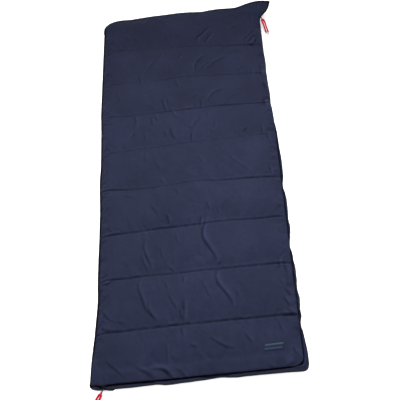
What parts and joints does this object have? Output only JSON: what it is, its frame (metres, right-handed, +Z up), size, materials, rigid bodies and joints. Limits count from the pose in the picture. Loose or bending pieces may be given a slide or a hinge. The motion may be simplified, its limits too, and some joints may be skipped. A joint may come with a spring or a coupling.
{
  "type": "rectangular sleeping bag",
  "caption": "Rectangular quilted sleeping bag, closed and lying flat, with an L-shaped two-way zip along one side and the foot, cord pullers and a free mouth corner.",
  "frame": {"origin": "centre of the bag's plan on the ground, on the flat underside of the back shell", "axes": "+X towards the zip side, +Y from the foot to the head (mouth), +Z up through the thickness"},
  "size_m": [0.82, 2.0103, 0.0569],
  "materials": {
    "shell_fabric": "matte woven polyester, dark navy slate",
    "lining_fabric": "soft brushed lining, muted grey blue",
    "insulation": "loose hollow-fibre batting, off white",
    "edge_trim": "folded binding, near black",
    "zip_tape": "flat woven tape, near black",
    "zip_coil": "nylon coil, black",
    "zip_metal": "dark gunmetal paint",
    "cord": "braided cord, red",
    "cord_end": "moulded end, pale grey beige",
    "label": "woven patch, grey green, blank",
    "quilt_thread": "quilting thread, dark"
  },
  "bodies": {
    "back_half": {"back_shell": "shell_fabric", "back_insulation": "insulation", "back_lining": "lining_fabric", "side_piping": "edge_trim", "mouth_binding_back": "edge_trim", "zip_tape_back": "zip_tape", "zip_coil_back": "zip_coil", "zip_top_stop_back": "zip_metal", "zip_retainer_box": "zip_metal", "draught_tube_shell": "lining_fabric", "draught_tube_fill": "insulation", "back_quilt_stitch_1": "quilt_thread", "back_quilt_stitch_2": "quilt_thread", "back_quilt_stitch_3": "quilt_thread", "back_quilt_stitch_4": "quilt_thread", "back_quilt_stitch_5": "quilt_thread", "back_quilt_stitch_6": "quilt_thread", "back_quilt_stitch_7": "quilt_thread", "back_quilt_stitch_8": "quilt_thread"},
    "front_half": {"front_shell": "shell_fabric", "front_insulation": "insulation", "front_lining": "lining_fabric", "mouth_binding_front": "edge_trim", "zip_tape_front": "zip_tape", "zip_coil_front": "zip_coil", "zip_top_stop_front": "zip_metal", "zip_insertion_pin": "zip_metal", "label_patch": "label", "front_quilt_stitch_1": "quilt_thread", "front_quilt_stitch_2": "quilt_thread", "front_quilt_stitch_3": "quilt_thread", "front_quilt_stitch_4": "quilt_thread", "front_quilt_stitch_5": "quilt_thread", "front_quilt_stitch_6": "quilt_thread", "front_quilt_stitch_7": "quilt_thread", "front_quilt_stitch_8": "quilt_thread"},
    "corner_flap": {"corner_flap_shell": "shell_fabric", "corner_flap_insulation": "insulation", "corner_flap_lining": "lining_fabric"},
    "side_slider": {"side_slider_body": "zip_metal"},
    "side_pull": {"side_pull_tab": "zip_metal"},
    "side_cord": {"side_pull_cord": "cord", "side_pull_cord_end": "cord_end"},
    "foot_slider": {"foot_slider_body": "zip_metal"},
    "foot_pull": {"foot_pull_tab": "zip_metal"},
    "foot_cord": {"foot_pull_cord": "cord", "foot_pull_cord_end": "cord_end"}
  },
  "joints": [
    {"name": "front_opening", "type": "hinge", "parent": "back_half", "child": "front_half", "pos_m": [-0.375, 0, 0.0285], "axis": [0, -1, 0], "range_deg": [0, 179.5]},
    {"name": "corner_flap_fold", "type": "hinge", "parent": "front_half", "child": "corner_flap", "pos_m": [0.386, 0.92, 0.042], "axis": [0, -1, 0], "range_deg": [-40, 110]},
    {"name": "side_slider_run", "type": "slide", "parent": "back_half", "child": "side_slider", "axis": [-0.0181, -0.9998, 0], "range_m": [0, 1.77]},
    {"name": "side_tab_swing", "type": "hinge", "parent": "side_slider", "child": "side_pull", "pos_m": [0.38466, 0.87188, 0.0285], "axis": [0, 0, 1], "range_deg": [0, 100]},
    {"name": "side_cord_swing", "type": "hinge", "parent": "side_pull", "child": "side_cord", "pos_m": [0.38941, 0.84734, 0.0285], "axis": [0, 0, 1], "range_deg": [-3, 50]},
    {"name": "foot_slider_run", "type": "slide", "parent": "back_half", "child": "foot_slider", "axis": [0.9996, 0.0274, 0], "range_m": [0, 0.636]},
    {"name": "foot_tab_swing", "type": "hinge", "parent": "foot_slider", "child": "foot_pull", "pos_m": [-0.32582, -0.95322, 0.0285], "axis": [0, 0, 1], "range_deg": [-30, 80]},
    {"name": "foot_cord_swing", "type": "hinge", "parent": "foot_pull", "child": "foot_cord", "pos_m": [-0.33695, -0.97561, 0.0285], "axis": [0, 0, 1], "range_deg": [-20, 25]}
  ]
}
